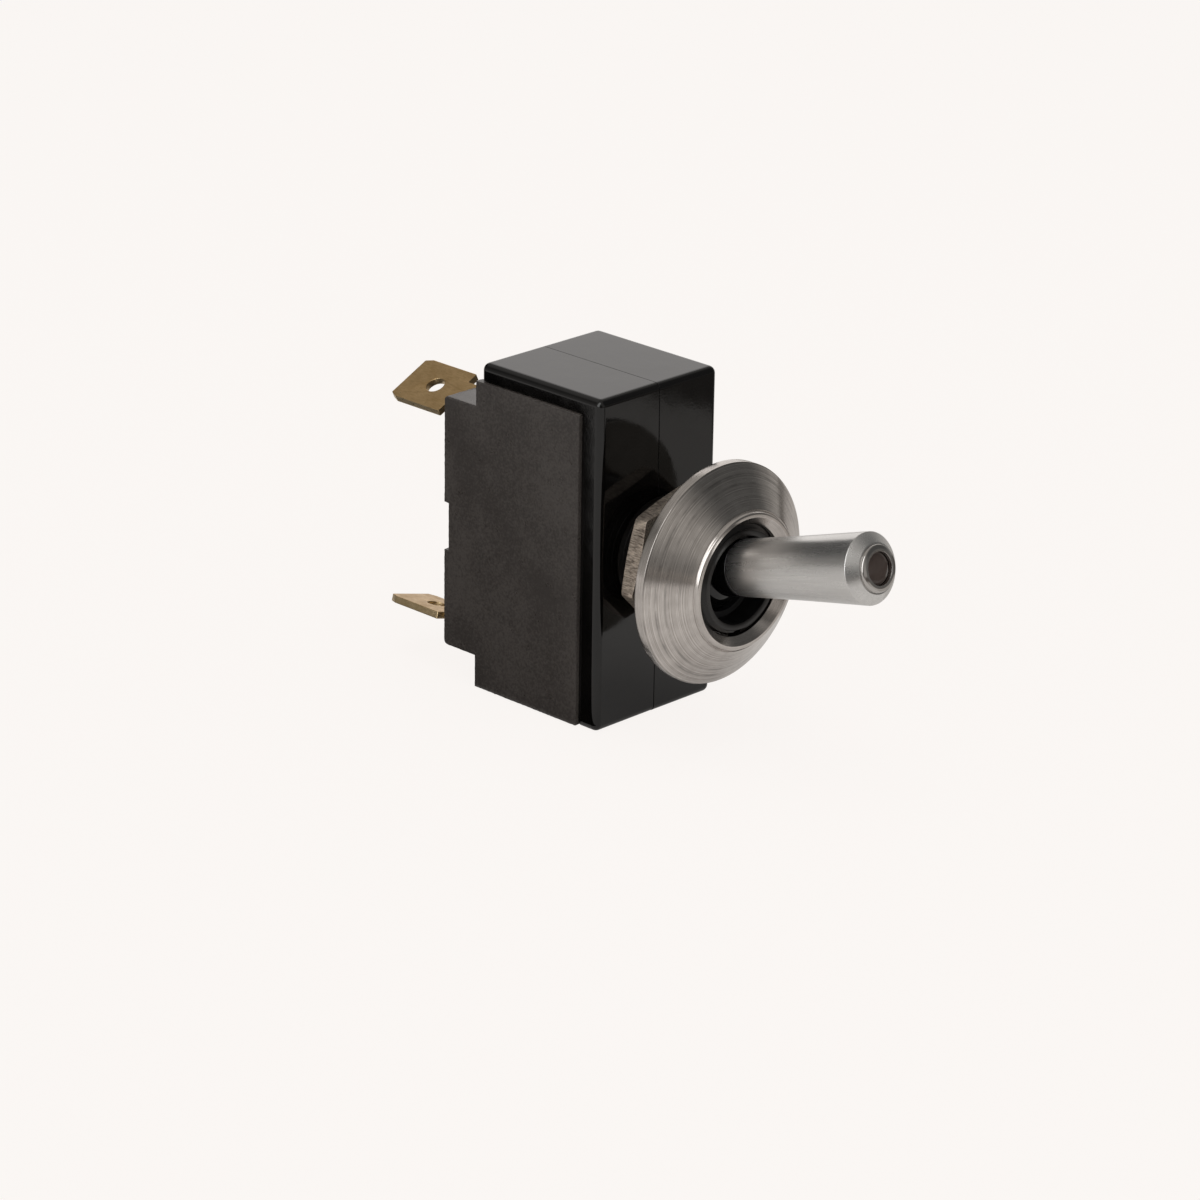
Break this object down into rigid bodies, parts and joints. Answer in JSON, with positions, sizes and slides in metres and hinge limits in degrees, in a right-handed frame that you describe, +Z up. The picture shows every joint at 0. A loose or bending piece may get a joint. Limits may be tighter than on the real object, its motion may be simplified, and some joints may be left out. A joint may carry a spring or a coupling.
{
  "type": "panel toggle switch",
  "caption": "Lit-tip toggle switch: moulded case with blade terminals, threaded bushing, panel nut, conical dress nut and swinging metal lever.",
  "frame": {"origin": "on the bushing's axis, on the panel nut's front face, where a panel seats", "axes": "+X out of the panel along the bushing, +Z up along the case, +Y across it"},
  "size_m": [0.0644, 0.024, 0.037],
  "materials": {
    "case": "glossy moulded black",
    "base": "fine matt texture, dark grey black",
    "bushing": "satin black",
    "panel_nut": "scuffed nickel plate",
    "dress_nut": "turned, with fine concentric marks",
    "seal": "smooth",
    "steel": "bright",
    "actuator": "smooth black",
    "lever": "fine satin",
    "bezel": "polished",
    "lens": "dark smoked",
    "lamp": "clear cast resin",
    "resistor": "painted",
    "lead_red": "insulated",
    "lead_black": "insulated",
    "plunger": "natural nylon",
    "copper": "rolled copper alloy",
    "silver": "silver contact metal",
    "brass": "rolled, slightly dulled"
  },
  "bodies": {
    "case": {"housing_left": "case", "housing_right": "case", "terminal_base": "base", "bushing": "bushing", "seal_ring": "seal", "pivot_pin": "steel", "fixed_contact": "silver", "saddle": "brass", "line_terminal": "brass", "load_terminal": "brass", "ground_terminal": "brass"},
    "panel_nut": {"panel_nut": "panel_nut"},
    "dress_nut": {"dress_nut": "dress_nut"},
    "lever": {"lever": "lever", "actuator": "actuator", "tip_bezel": "bezel", "tip_lens": "lens", "lamp": "lamp", "lamp_resistor": "resistor", "lamp_lead_hot": "lead_red", "lamp_lead_return": "lead_black"},
    "plunger": {"plunger": "plunger", "plunger_spring": "steel"},
    "rocker": {"rocker": "copper", "moving_contact": "silver"}
  },
  "joints": [
    {"name": "lever_throw", "type": "hinge", "parent": "case", "child": "lever", "pos_m": [0.00285, 0, 0], "axis": [0, 1, 0], "range_deg": [0, 30.4]},
    {"name": "rocker_swing", "type": "hinge", "parent": "case", "child": "rocker", "pos_m": [-0.01615, 0, 0], "axis": [0, 1, 0], "range_deg": [-18, 0]},
    {"name": "plunger_travel", "type": "slide", "parent": "lever", "child": "plunger", "axis": [0.965, 0, 0.2622], "range_m": [0, 0.0006], "stiffness_N_per_m": 400, "springref_m": -0.002, "deforming": ["plunger_spring"]},
    {"name": "panel_nut_travel", "type": "slide", "parent": "case", "child": "panel_nut", "axis": [1, 0, 0], "range_m": [-0.002, 0]},
    {"name": "dress_nut_travel", "type": "slide", "parent": "case", "child": "dress_nut", "axis": [1, 0, 0], "range_m": [-0.0035, 0.0045]}
  ],
  "couplings": [
    {"joint": "rocker_swing", "follows": "lever_throw", "ratio": -0.59211}
  ]
}
